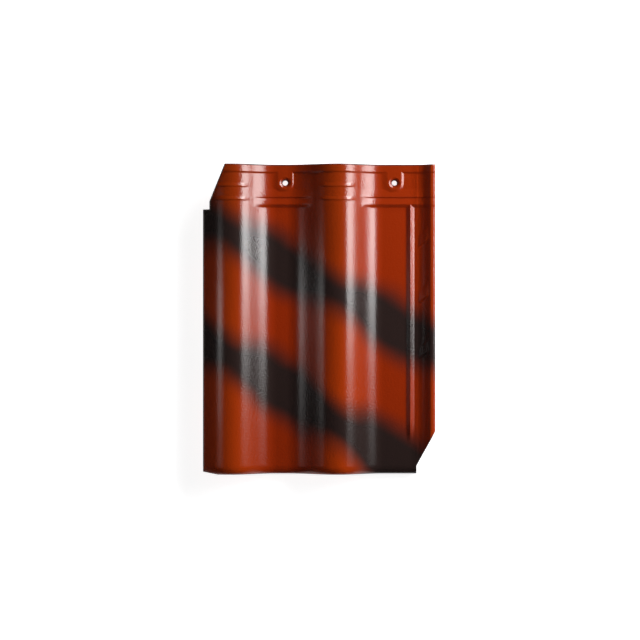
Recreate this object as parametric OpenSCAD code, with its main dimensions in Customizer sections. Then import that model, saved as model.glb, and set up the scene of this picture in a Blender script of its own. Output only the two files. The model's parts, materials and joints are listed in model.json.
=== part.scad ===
// Interlocking clay roof tile with two rolls, lying glazed face up on its hanging lugs and tail rim.
// X runs across the tile, Y runs towards the head and Z points out of the glazed face, in millimetres.

/* [Tile] */
// Overall width across the rolls
tile_w = 300; // [290:1:310]
// Overall length from tail to head
tile_l = 400; // [360:1:440]
// Thickness of the body
body_t = 10; // [8:0.5:13]
// Height of the pan's underside above the ground
bed_drop = 8; // [6:0.5:12]

/* [Rolls] */
// Distance from one crest to the next, half of the cover width
roll_pitch = 138; // [136:0.5:140]
// Width of a roll's left flank, from its foot to its crest
roll_left = 65.5; // [60:0.5:67]
// Width of a roll's right flank, from its crest to its foot
roll_right = 59; // [54:0.5:66]
// Height of a roll's crest above the pan
roll_h = 26; // [20:0.5:30]
// Distance from the left edge to the first crest
crest_inset = 36; // [33:0.5:38]

/* [Side lap] */
// Thickness of the overlapping lip and of the underlap
lip_t = 7.5; // [6:0.5:9]
// Length over which the lip thins from the body
lip_run = 10; // [6:1:16]
// Gap left between the underlap and the next tile's lip
lap_clear = 2; // [1:0.25:3]
// Part of that gap which the head's steps leave open
lap_gap = 0.4; // [0.2:0.1:0.8]
// Rounding of the foot from which the underlap rises
lap_foot = 2; // [0.5:0.25:3]
// Width of the flat rim along the underlap's edge
lap_rim_w = 6.5; // [4:0.5:9]
// Rounding of the underlap's outer edge
lap_edge_r = 2.4; // [1:0.2:3]
// Gap between the water ridge and the next tile's edge
ridge_clear = 2.7; // [1:0.1:5]
// Width of the water ridge
ridge_w = 11; // [8:0.5:14]
// Height of the water ridge
ridge_h = 3.5; // [2:0.25:5]
// Length of the ridge's pointed tail end
ridge_point = 11; // [6:1:20]
// Distance from the tail to the tip of the ridge
ridge_tail = 44; // [30:1:80]
// Number of slanted baffles in the side channel
baffles = 3; // [1:1:4]
// Distance from the head to the middle of the first baffle
baffle_head = 94; // [80:1:110]
// Distance between baffles
baffle_pitch = 72.5; // [50:0.5:80]
// Width of a baffle across the channel
baffle_w = 12; // [8:0.5:14]
// Length of a baffle along the tile
baffle_l = 15; // [8:0.5:20]
// Rise of a baffle's slanted ends across its width
baffle_rise = 10; // [4:0.5:14]
// Height of a baffle
baffle_h = 1.2; // [0.6:0.1:1.2]

/* [Head] */
// Length of the raised rim along the head edge
rim_l = 10.5; // [6:0.5:14]
// Height of the rim
rim_h = 1.6; // [0.8:0.1:3]
// Run of the sloped face of the rim and of each weather step
flank = 1.5; // [1:0.25:2]
// Distance from the head to the shelf's edge above the pans
shelf_in = 53.8; // [50:0.2:57]
// Height of the head shelf above the pans
shelf_h = 2; // [1:0.25:3]
// Run of the sloped face of the shelf's edge
shelf_flank = 3; // [2:0.25:5]
// Distance between the two weather steps in a valley
valley_step_gap = 10.9; // [8:0.1:12]
// Height of a weather step in a valley
valley_step_h = 1.4; // [0.6:0.1:2]
// Distance from the head to the lower weather step on a roll
roll_step_in = 46.3; // [44:0.1:48]
// Distance between the two weather steps on a roll
roll_step_gap = 17.3; // [14:0.1:18]
// Height of a weather step on a roll
roll_step_h = 0.9; // [0.6:0.1:1.6]
// Length of a weather step on a roll along the tile
roll_step_l = 6; // [4:0.5:12]
// Half of the width that the weather steps on a roll cover
roll_step_reach = 24.5; // [16:0.5:27]
// Run over which a weather step on a roll fades at its ends
roll_step_fade = 9; // [4:0.5:12]

/* [Fixing] */
// Diameter of a nail hole
nail_d = 7; // [5:0.25:8]
// Diameter of the countersink round a nail hole
nail_sink_d = 14; // [10:0.5:15]
// Depth of the countersink
nail_sink = 1.9; // [1:0.1:3.5]
// Distance from the head to the nail holes
nail_in = 23.5; // [21:0.5:26]
// Distance between the nail holes
nail_span = 141.4; // [136:0.1:146]
// Middle of the nail holes, from the tile's centre line
nail_mid = 26.6; // [20:0.2:32]
// Radius of the raised pad round a nail hole
pad_r = 10.4; // [9:0.1:13]
// Height of the pad above the shelf
pad_h = 1.6; // [0.8:0.1:3]
// Width of a hanging lug at the ground
lug_w = 38; // [24:1:44]
// Length of a hanging lug along the tile
lug_l = 12; // [8:0.5:13]
// Distance from the head to the lugs
lug_in = 2; // [1:0.5:5]
// Spread of a lug's sides towards its root
lug_draft = 3; // [1:0.5:5]

/* [Edges] */
// Length of the rounded nose along the tail
nose_l = 12; // [8:0.5:18]
// Fall of the rounded nose
nose_drop = 6; // [3:0.5:8]
// Length of the tail rim that stands on the ground
tail_rim_l = 6; // [5:0.5:10]
// Run of the tail rim's inner flank
tail_rim_flank = 5; // [4:0.5:12]
// Width cut from the head's left corner
head_cut_w = 28.5; // [24:0.5:34]
// Length of the slanted cut at the head's left corner
head_cut_l = 48; // [40:1:56]
// Width of the lip that is cut back at the head
notch_w = 8.5; // [6:0.5:12]
// Length of the cut-back lip
notch_l = 58.3; // [57:0.1:66]
// Length of the underlap that is cut back at the tail
tail_cut_l = 55.6; // [48:0.2:64]
// Straight length below the slanted cut at the tail
tail_cut_end = 10.5; // [8:0.5:16]
// Width of the eased left corner at the tail
ease_w = 20; // [12:1:26]
// Length of the eased left corner at the tail
ease_l = 3.5; // [2:0.25:6]

/* [Hidden] */
$fn = 64;
// Longest facet along the wave
wave_step = 4.5;
// Rings along the rounded nose
nose_rings = 6;
// Stations round the underlap's outer edge
edge_rings = 3;
// Depth by which raised details are rooted in the body
root = 3;
// Overshoot of every cutting shape
over = 5;
// Half of the span over which a slope is measured
slope_step = 0.01;

left_x = -tile_w / 2;
right_x = tile_w / 2;
head_y = tile_l / 2;
tail_y = -tile_l / 2;
pan_z = bed_drop + body_t;
top_z = pan_z + roll_h + max(roll_step_h, rim_h);
cover_w = 2 * roll_pitch;
side_lap = tile_w - cover_w;
crests = [left_x + crest_inset, left_x + crest_inset + roll_pitch];
next_crest = left_x + crest_inset + cover_w;
next_edge = left_x + cover_w;
ridge_right = next_edge - ridge_clear;
ridge_x = ridge_right - ridge_w / 2;
lap_rim_x = right_x - lap_rim_w;
lap_edge_x = right_x - lap_edge_r;
lap_shelf = min(1, (lap_clear - lap_gap) / (shelf_h + valley_step_h));
shelf_y = head_y - shelf_in;
roll_step_y = head_y - roll_step_in;
rim_y = head_y - rim_l;
nose_y = tail_y + nose_l;
nails = [nail_mid - nail_span / 2, nail_mid + nail_span / 2];
nail_y = head_y - nail_in;

function unit(v) = max(0, min(1, v));
function quarter_round(v) = 1 - sqrt(1 - pow(unit(v), 2));
function hump(d) =
    let (side = d < 0 ? roll_left : roll_right)
    abs(d) < side ? (1 + cos(180 * d / side)) / 2 : 0;
function wave(x) = hump(x - crests[0]) + hump(x - crests[1]);

// The underlap runs under the next tile's first roll, with a clear gap below its lip, up to a flat rim
function next_roll(x) = roll_h * hump(x - next_crest);
function next_slope(x) = (next_roll(x + slope_step) - next_roll(x - slope_step)) / (2 * slope_step);
function next_under(x) = next_roll(x) - lip_t * sqrt(1 + pow(next_slope(x), 2)) - lap_clear;
function lap_foot_rise(v) = (v + sqrt(v * v + lap_foot * lap_foot)) / 2;
function lap_rise(x) =
    lap_foot_rise(next_under(min(x, lap_rim_x))) * unit((x - ridge_x) / (ridge_right - ridge_x));
function lap_round(x) = lap_edge_r * quarter_round((x - lap_edge_x) / lap_edge_r);

// Plain section of the glazed face, and the underside a wall's thickness below it along the normal
function face_z(x) = pan_z + roll_h * wave(x) + lap_rise(x);
function face_slope(x) = (face_z(x + slope_step) - face_z(x - slope_step)) / (2 * slope_step);
function lip_share(x) =
    max(unit((left_x + side_lap + lip_run - x) / lip_run), unit((x - ridge_right) / lip_run));
function wall(x) = body_t - (body_t - lip_t) * lip_share(x);
function under_z(x) = face_z(x) - wall(x) * sqrt(1 + pow(face_slope(x), 2));

// Valleys take the shelf and crowns stay plain, and the shelf gets lower on the underlap
function valley(x) = max(0, 1 - 2 * wave(x)) * (1 - (1 - lap_shelf) * unit((x - next_edge) / notch_w));
function crown(x) = unit((roll_step_reach - min([for (c = crests) abs(x - c)])) / roll_step_fade);

// A weather step faces the tail and fades out towards the head, and a second one follows a gap above it
function rise(y, low, run) = unit((y - low) / run);
function weather_step(y, low, length, run) =
    max(0, min((y - low) / run, (low + length - y) / (length - run)));
function weather_steps(y, low, gap, length, run) =
    weather_step(y, low, length, run) + weather_step(y, low + gap, length, flank);
function head_lift(x, y) =
    rim_h * rise(y, rim_y, flank)
    + valley(x) * shelf_h * rise(y, shelf_y, shelf_flank)
    + valley(x) * valley_step_h * weather_steps(y, shelf_y, valley_step_gap, valley_step_gap, shelf_flank)
    + crown(x) * roll_step_h * weather_steps(y, roll_step_y, roll_step_gap, roll_step_l, flank);

// The tail's nose is a quarter ellipse, and its rim hangs down to the ground outside the side lap
function nose_fall(y) = nose_drop * quarter_round((nose_y - y) / nose_l);
function rim_fall(x, y) =
    bed_drop * unit((tail_y + tail_rim_l + tail_rim_flank - y) / tail_rim_flank)
    * unit((x - left_x - side_lap) / lip_run);

function glaze_z(x, y) = face_z(x) - lap_round(x) + head_lift(x, y) - nose_fall(y);
function bed_z(x, y) = max(0, under_z(x) - rim_fall(x, y));

function sorted(v) =
    len(v) == 0 ? [] :
    let (mid = v[floor(len(v) / 2)])
    concat(sorted([for (e = v) if (e < mid) e]), [mid], sorted([for (e = v) if (e > mid) e]));

// Stations across the tile, with one at every corner of the section
corners = sorted(concat(
    [left_x, left_x + side_lap, left_x + side_lap + lip_run],
    [for (c = crests, side = [-1, 1], inner = [0, roll_step_fade]) c + side * (roll_step_reach - inner)],
    [ridge_x, ridge_right, next_edge, next_edge + notch_w, lap_rim_x],
    [for (i = [0 : edge_rings]) lap_edge_x + lap_edge_r * sin(90 * i / edge_rings)]));
xs = concat(
    [for (i = [0 : len(corners) - 2])
        let (span = corners[i + 1] - corners[i], n = max(1, round(span / wave_step)))
        for (j = [0 : n - 1]) corners[i] + span * j / n],
    [right_x]);

// Rings from tail to head, with one at each end of every sloped face
function step_rings(low, gap, length, run) =
    [low, low + run, low + length, low + gap, low + gap + flank, low + gap + length];
ys = sorted(concat(
    [for (i = [0 : nose_rings]) nose_y - nose_l * cos(90 * i / nose_rings)],
    [tail_y + tail_rim_l, tail_y + tail_rim_l + tail_rim_flank],
    step_rings(shelf_y, valley_step_gap, valley_step_gap, shelf_flank),
    step_rings(roll_step_y, roll_step_gap, roll_step_l, flank),
    [rim_y, rim_y + flank, head_y]));

// Loft of the section through all rings, each face split in two
module blank() {
    n = len(xs);
    m = 2 * n;
    points = [for (y = ys) each concat(
        [for (x = xs) [x, y, glaze_z(x, y)]],
        [for (i = [n - 1 : -1 : 0]) [xs[i], y, bed_z(xs[i], y)]])];
    skin = [for (j = [0 : len(ys) - 2]) for (k = [0 : m - 1])
        let (a = j * m + k, b = j * m + (k + 1) % m)
        each [[a, a + m, b + m], [a, b + m, b]]];
    tail = [for (i = [0 : n - 2]) [i, i + 1, m - 2 - i, m - 1 - i]];
    last = (len(ys) - 1) * m;
    head = [for (f = tail) [for (k = [3 : -1 : 0]) last + f[k]]];
    polyhedron(points, concat(skin, tail, head), convexity = 12);
}

// Skin that follows the glazed face, from below it to a height above it
module skin_over(height, low, length) {
    translate([0, low + length, 0])
        rotate([90, 0, 0])
            linear_extrude(length)
                polygon(concat(
                    [for (x = xs) [x, face_z(x) + height]],
                    [for (i = [len(xs) - 1 : -1 : 0]) [xs[i], face_z(xs[i]) - root]]));
}

// Upright prism over a plan shape, through the whole tile
module column() {
    translate([0, 0, -over]) linear_extrude(top_z + 2 * over) children();
}

// Raised pad round each nail hole, joined to the head rim
module nail_pads() {
    intersection() {
        skin_over(shelf_h + pad_h, nail_y - pad_r - over, nail_in + pad_r + over);
        column()
            for (x = nails) {
                translate([x, nail_y]) circle(pad_r);
                translate([x - pad_r, nail_y]) square([2 * pad_r, nail_in - rim_l / 2]);
            }
    }
}

module nail_holes() {
    for (x = nails) {
        pad_z = face_z(x) + shelf_h + pad_h;
        translate([x, nail_y, -over]) cylinder(d = nail_d, h = pad_z + over);
        translate([x, nail_y, pad_z - nail_sink])
            cylinder(d1 = nail_d, d2 = nail_sink_d, h = nail_sink);
        translate([x, nail_y, pad_z]) cylinder(d = nail_sink_d, h = over);
    }
}

// Water ridge beside the pan, pointed at its tail end
module ridge_section() {
    polygon([[-ridge_w / 2, 0], [-ridge_w / 2, -root], [ridge_w / 2, -root], [ridge_w / 2, 0], [0, ridge_h]]);
}

module water_ridge() {
    point_y = tail_y + ridge_tail;
    body_y = point_y + ridge_point;
    top_y = shelf_y + shelf_flank;
    translate([ridge_x, top_y, pan_z])
        rotate([90, 0, 0]) linear_extrude(top_y - body_y) ridge_section();
    hull() {
        translate([ridge_x, body_y + over, pan_z])
            rotate([90, 0, 0]) linear_extrude(over) ridge_section();
        translate([ridge_x, point_y, pan_z - root]) cube([root, root, root], center = true);
    }
}

// Slanted baffles that turn water back out of the side channel
module channel_baffles() {
    half = baffle_w / 2;
    mid_x = (next_edge + lap_rim_x) / 2;
    intersection() {
        skin_over(baffle_h, tail_y, tile_l - shelf_in);
        column()
            for (i = [0 : baffles - 1])
                translate([mid_x, head_y - baffle_head - i * baffle_pitch])
                    polygon([
                        [-half, -(baffle_l + baffle_rise) / 2],
                        [half, -(baffle_l - baffle_rise) / 2],
                        [half, (baffle_l + baffle_rise) / 2],
                        [-half, (baffle_l - baffle_rise) / 2]]);
    }
}

// Plan outline with the lip cut back at the head and the underlap cut back at the tail
module outline() {
    polygon([
        [left_x + head_cut_w, head_y + over],
        [left_x + head_cut_w, head_y],
        [left_x + notch_w, head_y - head_cut_l],
        [left_x + notch_w, head_y - notch_l],
        [left_x, head_y - notch_l],
        [left_x, tail_y + ease_l],
        [left_x + ease_w, tail_y],
        [left_x + ease_w, tail_y - over],
        [next_edge, tail_y - over],
        [next_edge, tail_y + tail_cut_end],
        [right_x, tail_y + tail_cut_l],
        [right_x, head_y + over]]);
}

// Lug that hooks over a batten, under the valley at each nail hole
module lug() {
    half = lug_w / 2;
    height = bed_drop + body_t / 2;
    translate([0, head_y - lug_in, 0])
        rotate([90, 0, 0])
            linear_extrude(lug_l)
                polygon([[-half, 0], [half, 0], [half + lug_draft, height], [-half - lug_draft, height]]);
}

module roof_tile() {
    color("firebrick")
        difference() {
            union() {
                intersection() {
                    union() {
                        blank();
                        nail_pads();
                        water_ridge();
                        channel_baffles();
                    }
                    column() outline();
                }
                for (x = nails) translate([x, 0, 0]) lug();
            }
            nail_holes();
        }
}

roof_tile();
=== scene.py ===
# A glazed clay roof tile on a white studio floor, seen from straight above.
import json
import math

import bmesh
import bpy
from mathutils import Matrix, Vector


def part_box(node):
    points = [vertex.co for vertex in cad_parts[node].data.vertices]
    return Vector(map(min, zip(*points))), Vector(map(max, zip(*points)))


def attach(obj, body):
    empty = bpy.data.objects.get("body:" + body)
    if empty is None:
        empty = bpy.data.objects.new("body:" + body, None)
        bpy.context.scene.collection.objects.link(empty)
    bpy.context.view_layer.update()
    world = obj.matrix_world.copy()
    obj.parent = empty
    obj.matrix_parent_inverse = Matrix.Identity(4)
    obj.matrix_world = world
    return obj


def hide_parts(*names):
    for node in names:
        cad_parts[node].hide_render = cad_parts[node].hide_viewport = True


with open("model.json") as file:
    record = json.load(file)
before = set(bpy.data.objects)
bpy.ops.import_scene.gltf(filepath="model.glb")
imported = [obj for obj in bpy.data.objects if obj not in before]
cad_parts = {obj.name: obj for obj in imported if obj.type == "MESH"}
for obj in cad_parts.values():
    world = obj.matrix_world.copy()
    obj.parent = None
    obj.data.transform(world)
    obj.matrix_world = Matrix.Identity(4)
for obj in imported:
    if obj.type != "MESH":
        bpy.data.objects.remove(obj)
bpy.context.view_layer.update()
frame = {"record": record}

MM = 0.001

# Outline of the tile, in millimetres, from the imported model
tile_low, tile_high = (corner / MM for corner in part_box("roof_tile"))
LEFT, TAIL = tile_low.x, tile_low.y
RIGHT, HEAD = tile_high.x, tile_high.y
mounts = {mount["name"]: mount for mount in frame["record"]["mounts"]}
NAIL_MID, NAIL_Y = (value / MM for value in mounts["nail_holes"]["pos_m"][:2])
NAIL_SPAN = mounts["nail_holes"]["dims"]["spacing_x_mm"]
NAIL_R = mounts["nail_holes"]["dims"]["hole_r_mm"]
NAILS = [NAIL_MID - NAIL_SPAN / 2, NAIL_MID + NAIL_SPAN / 2]

# Section across the tile
BODY_T = 10.0
BED_DROP = 8.0
PAN_Z = BED_DROP + BODY_T
ROLL_PITCH = 138.0
ROLL_LEFT = 65.5
ROLL_RIGHT = 59.0
ROLL_TURN = 0.05
ROLL_H = 26.0
FIRST_CREST = LEFT + 36.0
CRESTS = [FIRST_CREST, FIRST_CREST + ROLL_PITCH]
COVER_W = 2 * ROLL_PITCH
NEXT_CREST = FIRST_CREST + COVER_W
NEXT_EDGE = LEFT + COVER_W
SIDE_LAP = RIGHT - LEFT - COVER_W

# Side lap with its water ridge and baffles
LIP_T = 7.5
LIP_RUN = 10.0
LAP_CLEAR = 2.0
LAP_FOOT = 2.0
LAP_HOLLOW = 1.5
LAP_RIM_TILT = 0.18
LAP_RIM_TURN = 0.315
LAP_RIM_X = RIGHT - 6.5
LAP_SHELF = 0.47
RIDGE_W = 11.0
RIDGE_H = 3.5
RIDGE_RIGHT = NEXT_EDGE - 2.7
RIDGE_X = RIDGE_RIGHT - RIDGE_W / 2
RIDGE_TIP = TAIL + 44.0
RIDGE_POINT = 11.0
BAFFLES = 3
BAFFLE_HEAD = 94.0
BAFFLE_PITCH = 72.5
BAFFLE_W = 12.0
BAFFLE_L = 15.0
BAFFLE_RISE = 10.0
BAFFLE_H = 1.2
BAFFLE_FADE = 5.0
BAFFLE_TOP = 0.35
BAFFLE_X = (NEXT_EDGE + LAP_RIM_X) / 2

# Head with its rim, shelf and weather steps
RIM_Y = HEAD - 11.6
RIM_H = 1.55
RIM_RUN = 2.4
FLANK = 1.5
STEP_RUN = 1.8
SHELF_Y = HEAD - 56.0
SHELF_H = 2.0
SHELF_FLANK = 4.6
VALLEY_GAP = 12.5
VALLEY_H = 1.4
ROLL_STEP_Y = HEAD - 47.5
ROLL_GAP = 17.3
ROLL_STEP_H = 0.9
ROLL_STEP_L = 6.0
ROLL_REACH = 24.5
ROLL_FADE = 9.0

# Nail pads, countersinks and hanging lugs
PAD_R = 10.4
PAD_H = 1.6
PAD_WALL = 0.53
PAD_FADE = 0.22
PAD_EASE = 1.3
SINK_PROFILE = [(5.6, -0.8), (6.0, -0.55), (7.0, -0.03), (7.4, 0.06), (7.9, 0.09)]
SINK = 2.2
LUG_HALF = 19.0
LUG_DRAFT = 3.0
LUG_FOOT = HEAD - 14.0
LUG_TOP = HEAD - 2.0
LUG_FLANK = 0.5

# Nose, tail rim, cut corners and rounded edges
NOSE_L = 12.0
NOSE_DROP = 6.0
NOSE_Y = TAIL + NOSE_L
TAIL_RIM_L = 6.0
TAIL_RIM_FLANK = 5.0
HEAD_CUT_W = 28.5
HEAD_CUT_L = 48.0
NOTCH_W = 8.5
NOTCH_L = 58.3
TAIL_CUT_L = 55.6
TAIL_CUT_END = 10.5
EASE_W = 20.0
EASE_L = 3.5
EDGE_R = 2.0
UNDER_EDGE_R = 0.9
OUTLINE = [
    (LEFT + HEAD_CUT_W, HEAD),
    (LEFT + NOTCH_W, HEAD - HEAD_CUT_L),
    (LEFT + NOTCH_W, HEAD - NOTCH_L),
    (LEFT, HEAD - NOTCH_L),
    (LEFT, TAIL + EASE_L),
    (LEFT + EASE_W, TAIL),
    (NEXT_EDGE, TAIL),
    (NEXT_EDGE, TAIL + TAIL_CUT_END),
    (RIGHT, TAIL + TAIL_CUT_L),
    (RIGHT, HEAD),
]

# Mesh: rings along the edge, spacing of the cuts in millimetres, and tolerances
EDGE_RINGS = 5
HOLE_SIDES = 48
PLAIN_STEP = 8.0
WAVE_STEP = 2.4
HEAD_STEP = 2.0
BAFFLE_STEP = 1.1
LAP_STEP = 1.0
PAD_STEP = 0.9
RIDGE_STEP = 0.7
FLANK_STEPS = 4
FINE_STEPS = 3
SLOPE_STEP = 0.01
WELD = 1e-4
NEAR = 0.001
DIGITS = 5
UPRIGHT = 0.02
SHARP_ANGLE = math.radians(40)

# Painted shade: darker, duller glaze along the rounded edges and at the mouths of the nail holes
EDGE_SHADE_RISE = 1.6
SIDE_EDGE_SHADE = 0.2
HOLE_SHADE = 0.9
HOLE_LIP = 0.5


# Shapes that the section and the lengthwise forms are made of
def unit(v):
    return max(0.0, min(1.0, v))


def soft(v):
    v = unit(v)
    return v * v * (3 - 2 * v)


def quarter_round(v):
    return 1 - math.sqrt(1 - unit(v) ** 2)


def hump(d):
    share = min(1.0, -d / ROLL_LEFT if d < 0 else d / ROLL_RIGHT)
    share -= ROLL_TURN * math.sin(2 * math.pi * share) / (2 * math.pi)
    return (1 + math.cos(math.pi * share)) / 2


def wave(x):
    return sum(hump(x - crest) for crest in CRESTS)


def slope(curve, x):
    return (curve(x + SLOPE_STEP) - curve(x - SLOPE_STEP)) / (2 * SLOPE_STEP)


def next_roll(x):
    return ROLL_H * hump(x - NEXT_CREST)


def next_under(x):
    return next_roll(x) - LIP_T * math.hypot(1, slope(next_roll, x)) - LAP_CLEAR


def lap_rise(x):
    under = next_under(min(x, LAP_RIM_X))
    channel = unit((x - NEXT_EDGE) / (LAP_RIM_X - NEXT_EDGE))
    hollow = LAP_HOLLOW * math.sin(math.pi * channel)
    start = unit((x - RIDGE_X) / (RIDGE_RIGHT - RIDGE_X))
    rise = (under + math.hypot(under, LAP_FOOT)) / 2 * start
    rim = unit((x - LAP_RIM_X) / (RIGHT - LAP_RIM_X))
    crest = (RIGHT - LAP_RIM_X) * rim * (LAP_RIM_TILT - LAP_RIM_TURN * rim)
    return rise - hollow + crest


def face_z(x):
    return PAN_Z + ROLL_H * wave(x) + lap_rise(x)


def under_z(x):
    cover = unit((LEFT + SIDE_LAP + LIP_RUN - x) / LIP_RUN)
    lip = max(cover, unit((x - RIDGE_RIGHT) / LIP_RUN))
    wall = BODY_T - (BODY_T - LIP_T) * lip
    return face_z(x) - wall * math.hypot(1, slope(face_z, x))


def valley(x):
    taper = 1 - (1 - LAP_SHELF) * unit((x - NEXT_EDGE) / NOTCH_W)
    return max(0.0, 1 - 2 * wave(x)) * taper


def crown(x):
    return soft((ROLL_REACH - min(abs(x - crest) for crest in CRESTS)) / ROLL_FADE)


def weather_step(y, low, length, run):
    if y < low + run:
        return unit((y - low) / run)
    return unit((low + length - y) / (length - run))


def weather_steps(y, low, gap, length, run):
    lower = weather_step(y, low, length, run)
    upper = weather_step(y, low + gap, length, STEP_RUN) if y > low + gap else 0.0
    return lower + upper


def nail_pad(x, y):
    """Lift of the pad round a nail hole, steep on its right and fading out on its left."""
    nail = min(NAILS, key=lambda place: abs(x - place))
    dx, dy = x - nail, min(0.0, y - NAIL_Y)
    away = math.hypot(dx, dy)
    steep = PAD_WALL + max(0.0, slope(face_z, nail + PAD_R))
    wall = PAD_FADE + (steep - PAD_FADE) * soft((1 + dx / away) / 2 if away else 0.5)
    return SHELF_H + PAD_H - wall * max(0.0, away - PAD_R + PAD_EASE)


def head_lift(x, y):
    pans = SHELF_H * unit((y - SHELF_Y) / SHELF_FLANK)
    pans += VALLEY_H * weather_steps(y, SHELF_Y, VALLEY_GAP, VALLEY_GAP, SHELF_FLANK)
    rolls = ROLL_STEP_H * weather_steps(y, ROLL_STEP_Y, ROLL_GAP, ROLL_STEP_L, STEP_RUN)
    rim = RIM_H * unit((y - RIM_Y) / RIM_RUN)
    return rim + valley(x) * pans + crown(x) * rolls


def water_ridge(x, y):
    reach = unit((y - RIDGE_TIP) / RIDGE_POINT)
    height = reach - abs(x - RIDGE_X) / (RIDGE_W / 2)
    return RIDGE_H * max(0.0, height)


def baffle(x, y):
    across = (BAFFLE_W / 2 + FLANK - abs(x - BAFFLE_X)) / BAFFLE_FADE
    lean = BAFFLE_RISE * (x - BAFFLE_X) / BAFFLE_W
    height = 0.0
    for i in range(BAFFLES):
        place = y - lean - (HEAD - BAFFLE_HEAD - i * BAFFLE_PITCH)
        ends = unit((BAFFLE_L / 2 - abs(place)) / FLANK + 0.5)
        height = max(height, ends * (1 - (1 - BAFFLE_TOP) * unit(place / BAFFLE_L + 0.5)))
    return BAFFLE_H * soft(across) * height


def edge_distance(x, y):
    here = Vector((x, y))
    nearest = math.inf
    for start, end in zip(OUTLINE, OUTLINE[1:] + OUTLINE[:1]):
        a, b = Vector(start), Vector(end)
        share = unit((here - a).dot(b - a) / (b - a).length_squared)
        nearest = min(nearest, (here - a.lerp(b, share)).length)
    return nearest


def glaze_z(x, y, inset):
    lift = head_lift(x, y)
    if NAIL_Y - 2 * PAD_R < y < RIM_Y + RIM_RUN:
        lift = max(lift, nail_pad(x, y))
    if y < SHELF_Y + SHELF_FLANK:
        lift = max(lift, water_ridge(x, y))
        lift += baffle(x, y)
    nose = NOSE_DROP * quarter_round((NOSE_Y - y) / NOSE_L)
    edge = EDGE_R * quarter_round(1 - inset / EDGE_R)
    return face_z(x) + lift - max(nose, edge)


def bed_z(x, y, inset):
    rim = unit((TAIL + TAIL_RIM_L + TAIL_RIM_FLANK - y) / TAIL_RIM_FLANK)
    rim *= unit((x - LEFT - SIDE_LAP) / LIP_RUN)
    z = under_z(x) - BED_DROP * rim
    along = unit(min(y - LUG_FOOT, LUG_TOP - y) / LUG_FLANK)
    away = min(abs(x - nail) for nail in NAILS)
    across = unit((LUG_HALF + LUG_DRAFT - away) / LUG_DRAFT)
    z -= z * along * across
    return max(0.0, z) + UNDER_EDGE_R * quarter_round(1 - inset / UNDER_EDGE_R)


def painted_edge_shade(x, y, inset):
    """Share of painted shade on the rounded edge, all along it but for the tail and the right
    side.
    """
    edge_shade = unit(EDGE_SHADE_RISE * (1 - inset / EDGE_R))
    return edge_shade * unit((y - TAIL) / NOSE_L) * unit((RIGHT - x) / EDGE_R - 1)


# Cuts across and along the plan, each mark a place and the spacing that follows it
def spaced(marks):
    places = []
    for (low, step), (high, _) in zip(marks, marks[1:]):
        count = max(1, math.ceil((high - low) / step))
        places += [low + (high - low) * i / count for i in range(count)]
    return places[1:]


def crown_marks(crest):
    return [(crest - ROLL_REACH, WAVE_STEP), (crest + ROLL_REACH, WAVE_STEP)]


def pad_marks(nail):
    return [(nail - PAD_R - PAD_EASE, PAD_STEP), (nail + PAD_R + 2 * PAD_EASE, WAVE_STEP)]


def across_marks():
    marks = [(LEFT, HEAD_STEP)]
    marks += crown_marks(CRESTS[0]) + pad_marks(NAILS[0])
    marks += crown_marks(CRESTS[1]) + pad_marks(NAILS[1])
    marks += [(RIDGE_X - RIDGE_W / 2, RIDGE_STEP), (RIDGE_X, RIDGE_STEP), (RIDGE_RIGHT, PAD_STEP)]
    marks += [(place, LAP_STEP) for place in (NEXT_EDGE, LAP_RIM_X, RIGHT - EDGE_R)]
    return sorted(marks)


def along_marks():
    marks = [(TAIL + EDGE_R, LAP_STEP), (TAIL + TAIL_RIM_L, LAP_STEP), (NOSE_Y, PLAIN_STEP)]
    half = (BAFFLE_L + BAFFLE_RISE) / 2 + FLANK
    for i in reversed(range(BAFFLES)):
        mid = HEAD - BAFFLE_HEAD - i * BAFFLE_PITCH
        marks += [(mid - half, BAFFLE_STEP), (mid + half, PLAIN_STEP)]
    for low, run in ((SHELF_Y, SHELF_FLANK), (ROLL_STEP_Y, STEP_RUN)):
        marks += [(low, run / FLANK_STEPS), (low + run, HEAD_STEP)]
    marks += [(NAIL_Y - PAD_R - PAD_EASE, PAD_STEP)]
    for low, after in ((SHELF_Y + VALLEY_GAP, HEAD_STEP), (ROLL_STEP_Y + ROLL_GAP, PAD_STEP)):
        marks += [(low, STEP_RUN / FINE_STEPS), (low + STEP_RUN, after)]
    marks += [(LUG_FOOT, LUG_FLANK), (LUG_FOOT + LUG_FLANK, PAD_STEP)]
    marks += [(RIM_Y, RIM_RUN / FLANK_STEPS), (RIM_Y + RIM_RUN, HEAD_STEP)]
    marks += [(LUG_TOP - LUG_FLANK, LUG_FLANK), (LUG_TOP, LAP_STEP), (HEAD, LAP_STEP)]
    return sorted(marks)


def cut_plan(bm, places, axis):
    normal = Vector((1, 0, 0)) if axis == 0 else Vector((0, 1, 0))
    for place in places:
        whole = bm.verts[:] + bm.edges[:] + bm.faces[:]
        bmesh.ops.bisect_plane(bm, geom=whole, dist=WELD, plane_co=normal * place,
                               plane_no=normal)


def inner_outline():
    """Corners of the outline moved in by the edge's radius, and each side's way out."""
    corners = [Vector((x, y, 0)) for x, y in OUTLINE]
    ways = []
    for start, end in zip(corners, corners[1:] + corners[:1]):
        along = (end - start).normalized()
        ways.append(Vector((along.y, -along.x, 0)) * EDGE_R)
    inner = []
    for i, corner in enumerate(corners):
        before, after = ways[i - 1], ways[i]
        inner.append(corner - (before + after) / (1 + before.dot(after) / EDGE_R ** 2))
    return corners, inner, ways


def way_out(here, corners, inner, ways):
    """Way from a place on the inner outline to the tile's edge."""
    for corner, start in zip(corners, inner):
        if (here - start).length < NEAR:
            return corner - start
    for start, end, way in zip(inner, inner[1:] + inner[:1], ways):
        share = unit((here - start).dot(end - start) / (end - start).length_squared)
        if (here - start.lerp(end, share)).length < NEAR:
            return way
    raise ValueError("a vertex of the plan is not on its edge")


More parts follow.
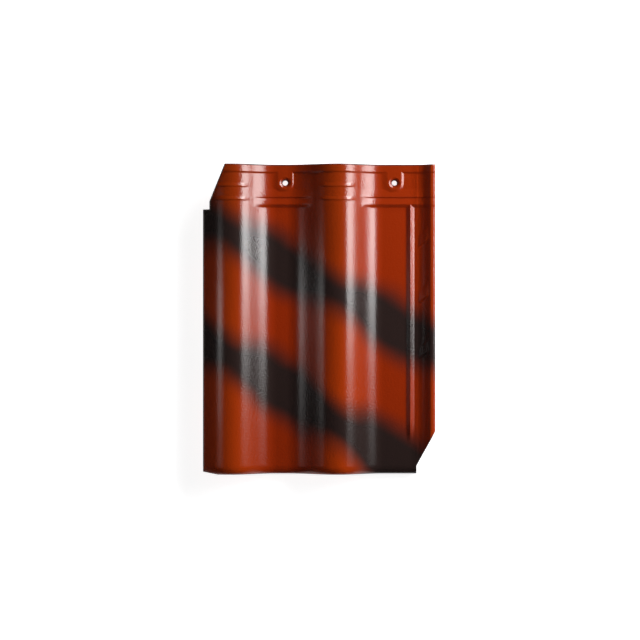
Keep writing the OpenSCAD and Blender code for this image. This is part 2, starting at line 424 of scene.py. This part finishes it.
def plan_sheet():
    """Flat sheet of the tile's outline, with cuts across it and rings along its edge."""
    bm = bmesh.new()
    # layer for the painted shade along the edges
    bm.verts.layers.float.new("painted_edge_shade")
    corners, inner, ways = inner_outline()
    bm.faces.new([bm.verts.new(place) for place in inner])
    cut_plan(bm, spaced(across_marks()), 0)
    cut_plan(bm, spaced(along_marks()), 1)
    edges = [e for e in bm.edges if e.is_boundary]
    rim = {v for e in edges for v in e.verts}
    paths = {}
    for v in rim:
        paths[v.co.to_tuple(DIGITS)] = (v.co.copy(), way_out(v.co, corners, inner, ways))
    for ring in range(1, EDGE_RINGS + 1):
        made = bmesh.ops.extrude_edge_only(bm, edges=edges)["geom"]
        edges = [e for e in made if isinstance(e, bmesh.types.BMEdge) and e.is_boundary]
        moved = {}
        for v in (v for v in made if isinstance(v, bmesh.types.BMVert)):
            start, way = paths[v.co.to_tuple(DIGITS)]
            v.co = start + way * math.sin(math.pi / 2 * ring / EDGE_RINGS)
            moved[v.co.to_tuple(DIGITS)] = (start, way)
        paths = moved
    return bm


def nail_cutter(nail):
    """Turned cutter for a nail hole, its countersink and the eased rim of that."""
    pad_z = face_z(nail) + SHELF_H + PAD_H
    profile = [(0, -SINK), (NAIL_R, -SINK), (NAIL_R, pad_z - SINK)]
    profile += [(r, pad_z + z) for r, z in SINK_PROFILE]
    profile += [(SINK_PROFILE[-1][0], pad_z + SINK), (0, pad_z + SINK)]
    bm = bmesh.new()
    verts = [bm.verts.new((nail + r, NAIL_Y, z)) for r, z in profile]
    edges = [bm.edges.new(pair) for pair in zip(verts, verts[1:])]
    bmesh.ops.spin(bm, geom=verts + edges, cent=(nail, NAIL_Y, 0), axis=(0, 0, 1),
                   angle=2 * math.pi, steps=HOLE_SIDES, use_merge=True)
    bmesh.ops.remove_doubles(bm, verts=bm.verts, dist=WELD)
    bmesh.ops.recalc_face_normals(bm, faces=bm.faces)
    return bm


def new_object(name, bm):
    bmesh.ops.scale(bm, vec=(MM, MM, MM), verts=bm.verts)
    mesh = bpy.data.meshes.new(name)
    bm.to_mesh(mesh)
    bm.free()
    obj = bpy.data.objects.new(name, mesh)
    bpy.context.scene.collection.objects.link(obj)
    return obj


def drill(obj):
    """Cuts the nail holes into the tile and leaves no modifier on it."""
    cutters = []
    for i, nail in enumerate(NAILS):
        cutters.append(new_object(f"nail_cutter_{i}", nail_cutter(nail)))
    for cutter in cutters:
        hole = obj.modifiers.new("nail_hole", "BOOLEAN")
        hole.operation = "DIFFERENCE"
        hole.solver = "EXACT"
        hole.object = cutter
    seen = obj.evaluated_get(bpy.context.evaluated_depsgraph_get())
    drilled = bpy.data.meshes.new_from_object(seen)
    obj.modifiers.clear()
    obj.data = drilled
    for cutter in cutters:
        bpy.data.objects.remove(cutter)


def set_pad_and_hole_shade(obj):
    """Leaves the glaze plain on the nail pads, with painted shade at the mouth of the holes."""
    edge_shade = obj.data.attributes["painted_edge_shade"].data
    for v in obj.data.vertices:
        x, y = v.co.x / MM, v.co.y / MM
        away = min(math.hypot(x - nail, y - NAIL_Y) for nail in NAILS)
        # painted shade in the mouth of each nail hole, none on the pad
        if away < PAD_R:
            edge_shade[v.index].value = HOLE_SHADE if away < NAIL_R + HOLE_LIP else 0.0


def crisp_sides(mesh):
    """Keeps the shading of the upright sides apart from that of the rounded edge above them."""
    upright, others = set(), set()
    for poly in mesh.polygons:
        (upright if abs(poly.normal.z) < UPRIGHT else others).update(poly.edge_keys)
    for edge in mesh.edges:
        if edge.key in upright and edge.key in others:
            edge.use_edge_sharp = True


def fired_tile():
    bm = plan_sheet()
    sheet = bm.faces[:]
    bmesh.ops.extrude_face_region(bm, geom=sheet, use_keep_orig=True)
    under = {v for f in sheet for v in f.verts}
    insets = {}
    edge_shade = bm.verts.layers.float["painted_edge_shade"]
    for v in bm.verts:
        x, y = v.co.x, v.co.y
        key = v.co.xy.to_tuple(DIGITS)
        if key not in insets:
            insets[key] = edge_distance(x, y)
        v.co.z = bed_z(x, y, insets[key]) if v in under else glaze_z(x, y, insets[key])
        # painted shade along the rounded edges, fading down the upright sides
        v[edge_shade] = painted_edge_shade(x, y, insets[key]) * (SIDE_EDGE_SHADE if v in under else 1.0)
    for f in sheet:
        f.material_index = 1
    bmesh.ops.recalc_face_normals(bm, faces=bm.faces)
    obj = new_object("fired_tile", bm)
    drill(obj)
    set_pad_and_hole_shade(obj)
    obj.data.shade_smooth()
    obj.data.set_sharp_from_angle(angle=SHARP_ANGLE)
    crisp_sides(obj.data)
    even = obj.modifiers.new("even_shading", "WEIGHTED_NORMAL")
    even.mode = "FACE_AREA"
    even.keep_sharp = True
    return obj


# Node helpers
def nodes_of(holder):
    holder.use_nodes = True
    tree = holder.node_tree
    tree.nodes.clear()
    return tree


def add(tree, kind, **inputs):
    node = tree.nodes.new(kind)
    for name, value in inputs.items():
        node.inputs[name].default_value = value
    return node


def math_node(tree, operation, *values, clamp=False):
    node = tree.nodes.new("ShaderNodeMath")
    node.operation = operation
    node.use_clamp = clamp
    for socket, value in zip(node.inputs, values):
        if isinstance(value, bpy.types.NodeSocket):
            tree.links.new(value, socket)
        else:
            socket.default_value = value
    return node.outputs[0]


def noise(tree, coords, scale, detail, roughness):
    node = add(tree, "ShaderNodeTexNoise", Scale=scale, Detail=detail, Roughness=roughness)
    tree.links.new(coords, node.inputs["Vector"])
    return node.outputs["Fac"]


def ramp(tree, value, low, high, start=0.0, end=1.0, kind="LINEAR"):
    node = tree.nodes.new("ShaderNodeMapRange")
    node.interpolation_type = kind
    for name, number in zip(("From Min", "From Max", "To Min", "To Max"), (low, high, start, end)):
        node.inputs[name].default_value = number
    tree.links.new(value, node.inputs["Value"])
    return node.outputs[0]


def bumped(tree, shader, height, strength, depth):
    bump = add(tree, "ShaderNodeBump", Strength=strength, Distance=depth)
    tree.links.new(height, bump.inputs["Height"])
    tree.links.new(bump.outputs[0], shader.inputs["Normal"])


def put_out(tree, shader, kind="ShaderNodeOutputMaterial"):
    out = tree.nodes.new(kind)
    tree.links.new(shader.outputs[0], out.inputs["Surface"])


def mixed(tree, share, first, second):
    node = tree.nodes.new("ShaderNodeMix")
    node.data_type = "RGBA"
    colour_a, colour_b = [s for s in node.inputs if s.type == "RGBA"]
    tree.links.new(share, node.inputs["Factor"])
    for socket, value in ((colour_a, first), (colour_b, second)):
        if isinstance(value, bpy.types.NodeSocket):
            tree.links.new(value, socket)
        else:
            socket.default_value = (*value, 1)
    return [s for s in node.outputs if s.type == "RGBA"][0]


# Colours
RED = (0.375, 0.029, 0.0016)
# painted light: the crowns are more orange, for the warm glow where the light falls strongest
CROWN_GLOW = (0.36, 0.036, 0.0017)
# painted light: the crowns grow lighter towards the tail
TAIL_CROWN_GLOW = (0.52, 0.05, 0.0022)
BLACK = (0.032, 0.018, 0.016)
# painted shade for the rounded edges and the mouths of the nail holes
EDGE_SHADE_COLOUR = (0.05, 0.007, 0.003)
CLAY = (0.45, 0.16, 0.075)
DARK_CLAY = [channel * 0.75 for channel in CLAY]

# Bands, in metres: middle, fall per metre, half length on crowns, and pans' widening and shift
BANDS = [(0.048, 0.54, 0.026, 0.014, 0.002), (-0.119, 0.62, 0.028, 0.017, 0.001)]
BAND_SOFT = 0.021
DRIFT = 0.024
DRIFT_NOISE = (14.0, 2.0, 0.5)
# where the painted light on the crowns grows towards the tail, in metres
TAIL_GLOW_FROM, TAIL_GLOW_TO = 0.1, -0.16

# Finish: noise as scale, detail and roughness, bump as strength and depth in metres
GLAZE_IOR = 1.65
GLAZE_ROUGH, EDGE_SHADE_ROUGH = 0.18, 0.58
GLAZE_SHINE, EDGE_SHADE_SHINE = 0.5, 0.1
RIPPLE_NOISE = (430.0, 2.0, 0.5)
RIPPLE_BUMP = (0.36, 0.0006)
CLAY_ROUGH = 0.85
GRAIN_NOISE = (900.0, 4.0, 0.6)
GRAIN_BUMP = (0.4, 0.0003)


def glaze():
    material = bpy.data.materials.new("sprayed_glaze")
    tree = nodes_of(material)
    coords = tree.nodes.new("ShaderNodeTexCoord").outputs["Object"]
    parts = tree.nodes.new("ShaderNodeSeparateXYZ")
    tree.links.new(coords, parts.inputs[0])
    drift = noise(tree, coords, *DRIFT_NOISE)
    drift = math_node(tree, "MULTIPLY_ADD", drift, DRIFT, -DRIFT / 2)
    pan = ramp(tree, parts.outputs["Z"], (PAN_Z + ROLL_H) * MM, PAN_Z * MM)
    tail = ramp(tree, parts.outputs["Y"], TAIL_GLOW_FROM, TAIL_GLOW_TO)
    black = None
    for middle, fall, half, wider, shift in BANDS:
        level = math_node(tree, "MULTIPLY_ADD", parts.outputs["X"], fall, drift)
        level = math_node(tree, "ADD", level, parts.outputs["Y"])
        level = math_node(tree, "MULTIPLY_ADD", pan, shift, level)
        away = math_node(tree, "ABSOLUTE", math_node(tree, "SUBTRACT", level, middle))
        away = math_node(tree, "MULTIPLY_ADD", pan, -wider, away)
        band = ramp(tree, away, half + BAND_SOFT, half - BAND_SOFT, kind="SMOOTHSTEP")
        black = band if black is None else math_node(tree, "MAXIMUM", black, band)
    edge = tree.nodes.new("ShaderNodeAttribute")
    edge.attribute_name = "painted_edge_shade"
    # painted light: the crown colour grows lighter towards the tail
    colour = mixed(tree, tail, CROWN_GLOW, TAIL_CROWN_GLOW)
    # painted light: the crowns are painted more orange than the pans
    colour = mixed(tree, pan, colour, RED)
    # painted shade along the edges and at the nail holes: darker colour here, and duller glaze
    # below
    colour = mixed(tree, edge.outputs["Fac"], colour, EDGE_SHADE_COLOUR)
    colour = mixed(tree, black, colour, BLACK)
    shader = add(tree, "ShaderNodeBsdfPrincipled", IOR=GLAZE_IOR)
    tree.links.new(colour, shader.inputs["Base Color"])
    for name, glazed, shaded in (("Roughness", GLAZE_ROUGH, EDGE_SHADE_ROUGH),
                                ("Specular IOR Level", GLAZE_SHINE, EDGE_SHADE_SHINE)):
        level = math_node(tree, "MULTIPLY_ADD", edge.outputs["Fac"], shaded - glazed, glazed)
        tree.links.new(level, shader.inputs[name])
    bumped(tree, shader, noise(tree, coords, *RIPPLE_NOISE), *RIPPLE_BUMP)
    put_out(tree, shader)
    return material


def bare_clay():
    material = bpy.data.materials.new("bare_clay")
    tree = nodes_of(material)
    coords = tree.nodes.new("ShaderNodeTexCoord").outputs["Object"]
    grain = noise(tree, coords, *GRAIN_NOISE)
    shader = add(tree, "ShaderNodeBsdfPrincipled", Roughness=CLAY_ROUGH)
    tree.links.new(mixed(tree, grain, DARK_CLAY, CLAY), shader.inputs["Base Color"])
    bumped(tree, shader, grain, *GRAIN_BUMP)
    put_out(tree, shader)
    return material


# Studio, in metres, with the lamps' levels as radiance
STRIP_LEVEL = 0.03
RIGHT_PLACE = (0.642, 0.485)
RIGHT_W = 0.31
LEFT_PLACE = (-0.262, 0.205)
LEFT_W = 0.07
RIGHT_MARKS = [-0.26, -0.16, -0.12, -0.08, -0.042, -0.003, 0.037, 0.075, 0.115, 0.165, 0.54]
RIGHT_LEVELS = [0.5, 0.75, 1.3, 2.1, 3.3, 4.6, 6.3, 8.2, 9.8, 8.2]
LEFT_MARKS = [-0.26, -0.20, -0.14, -0.08, -0.03, 0.05, 0.10, 0.17]
LEFT_LEVELS = [0.014, 0.022, 0.05, 0.075, 0.115, 0.08, 0.022]
FULL_SPREAD = math.pi
LEFT_SPREAD = math.radians(40)
RIGHT_AIM, LEFT_AIM = 0.0, -0.075
HEAD_FILL_PLACE = (1.2, 1.2, 0.9)
HEAD_FILL_W, HEAD_FILL_L = 0.8, 1.1
HEAD_FILL_LEVEL = 8.2
HORIZON_TOP, SKY_FOOT = 0.02, 0.2
HORIZON_LEVEL, SKY_LEVEL = 1.0, 0.02
FLOOR_HALF = 20.0
FLOOR_GLOW = 0.9
FLOOR_WHITE = (0.8, 0.8, 0.8, 1)
VIEW_W = 0.8285
CAMERA_PLACE = (0.001, -0.0009, 3.0)
SENSOR = 36.0


def studio_camera():
    data = bpy.data.cameras.new("camera")
    data.sensor_width = SENSOR
    data.sensor_fit = "HORIZONTAL"
    data.lens = SENSOR * (CAMERA_PLACE[2] - PAN_Z * MM) / VIEW_W
    camera = bpy.data.objects.new("camera", data)
    camera.location = CAMERA_PLACE
    bpy.context.scene.collection.objects.link(camera)
    bpy.context.scene.camera = camera


def strip_light(name, place, target, width, length, radiance, spread):
    data = bpy.data.lights.new(name, "AREA")
    data.shape = "RECTANGLE"
    data.size = length
    data.size_y = width
    data.energy = math.pi * width * length * radiance
    data.spread = spread
    lamp = bpy.data.objects.new(name, data)
    lamp.location = place
    lamp.rotation_euler = (Vector(target) - Vector(place)).to_track_quat("-Z", "Y").to_euler()
    lamp.visible_camera = False
    bpy.context.scene.collection.objects.link(lamp)


def side_strips(name, place, aim, width, spread, marks, levels):
    """Row of lamps along one side of the tile, each with a level of its own."""
    for i, radiance in enumerate(levels):
        low, high = marks[i], marks[i + 1]
        middle = (low + high) / 2
        lamp, target = (place[0], middle, place[1]), (aim, middle, STRIP_LEVEL)
        strip_light(f"{name}_{i}", lamp, target, width, high - low, radiance, spread)


def studio_lights():
    side_strips("right_strip", RIGHT_PLACE, RIGHT_AIM, RIGHT_W, FULL_SPREAD,
                RIGHT_MARKS, RIGHT_LEVELS)
    side_strips("left_strip", LEFT_PLACE, LEFT_AIM, LEFT_W, LEFT_SPREAD,
                LEFT_MARKS, LEFT_LEVELS)
    strip_light("head_fill", HEAD_FILL_PLACE, (0, 0, 0), HEAD_FILL_W, HEAD_FILL_L,
                HEAD_FILL_LEVEL, FULL_SPREAD)


def studio_world():
    world = bpy.data.worlds.new("studio")
    bpy.context.scene.world = world
    tree = nodes_of(world)
    coords = tree.nodes.new("ShaderNodeTexCoord").outputs["Generated"]
    parts = tree.nodes.new("ShaderNodeSeparateXYZ")
    tree.links.new(coords, parts.inputs[0])
    level = ramp(tree, parts.outputs["Z"], HORIZON_TOP, SKY_FOOT, HORIZON_LEVEL, SKY_LEVEL,
                 kind="SMOOTHSTEP")
    sky = tree.nodes.new("ShaderNodeBackground")
    tree.links.new(level, sky.inputs["Color"])
    put_out(tree, sky, "ShaderNodeOutputWorld")


def studio_floor():
    bm = bmesh.new()
    bmesh.ops.create_grid(bm, x_segments=1, y_segments=1, size=FLOOR_HALF / MM)
    floor = new_object("floor", bm)
    material = bpy.data.materials.new("white_floor")
    tree = nodes_of(material)
    path = tree.nodes.new("ShaderNodeLightPath")
    seen = math_node(tree, "ADD", path.outputs["Is Camera Ray"], path.outputs["Is Glossy Ray"])
    seen = math_node(tree, "ADD", seen, path.outputs["Is Transmission Ray"], clamp=True)
    glow = tree.nodes.new("ShaderNodeEmission")
    tree.links.new(math_node(tree, "MULTIPLY", seen, FLOOR_GLOW), glow.inputs["Strength"])
    paint = add(tree, "ShaderNodeBsdfDiffuse", Color=FLOOR_WHITE)
    both = tree.nodes.new("ShaderNodeAddShader")
    tree.links.new(glow.outputs[0], both.inputs[0])
    tree.links.new(paint.outputs[0], both.inputs[1])
    put_out(tree, both)
    floor.data.materials.append(material)


bpy.context.scene.view_settings.view_transform = "Standard"
studio_camera()
studio_lights()
studio_world()
studio_floor()

tile = fired_tile()
tile.data.materials.clear()
tile.data.materials.append(glaze())
tile.data.materials.append(bare_clay())
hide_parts("roof_tile")
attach(tile, "root")
